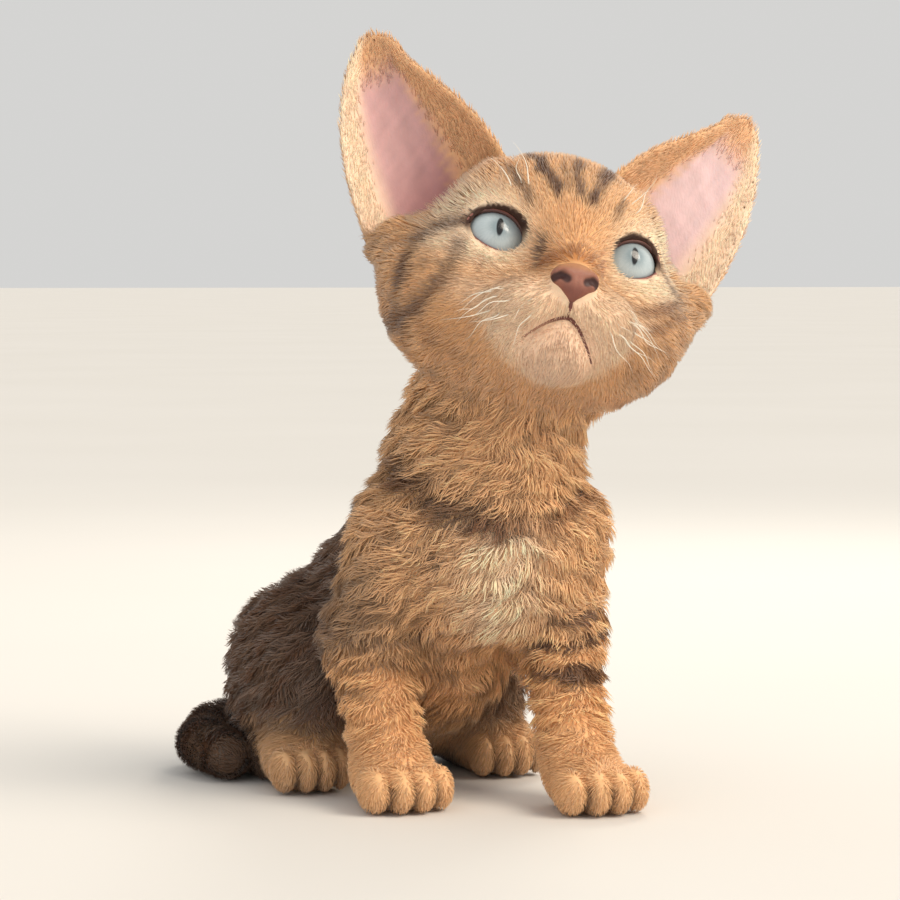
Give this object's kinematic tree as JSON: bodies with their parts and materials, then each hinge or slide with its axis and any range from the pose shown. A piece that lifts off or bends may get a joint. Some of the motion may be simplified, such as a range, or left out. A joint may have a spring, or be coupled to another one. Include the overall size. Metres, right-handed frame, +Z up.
{
  "type": "sitting Devon Rex kitten model",
  "caption": "Life-size still model of a young curly-coated kitten sitting upright, head raised and turned, with large cupped ears and its tail laid beside it.",
  "frame": {"origin": "middle of the whole kitten's footprint box, on the floor", "axes": "+Z up, the kitten's chest faces -Y, its left side is towards +X"},
  "size_m": [0.13, 0.1316, 0.1799],
  "materials": {
    "coat": "soft curly tabby fur, matte",
    "ear": "thin furred skin, matte",
    "eye": "wet gloss, as of a glass eye"
  },
  "bodies": {
    "root": {"neck": "coat", "tail_base": "coat", "tail_middle": "coat", "tail_tip": "coat", "forepaw_right": "coat", "foreleg_right": "coat", "forepaw_left": "coat", "foreleg_left": "coat", "hindpaw_right": "coat", "hindleg_right": "coat", "hindpaw_left": "coat", "hindleg_left": "coat", "torso": "coat", "eye_right": "eye", "eye_left": "eye", "head": "coat", "ear_right": "ear", "ear_left": "ear"}
  },
  "joints": []
}
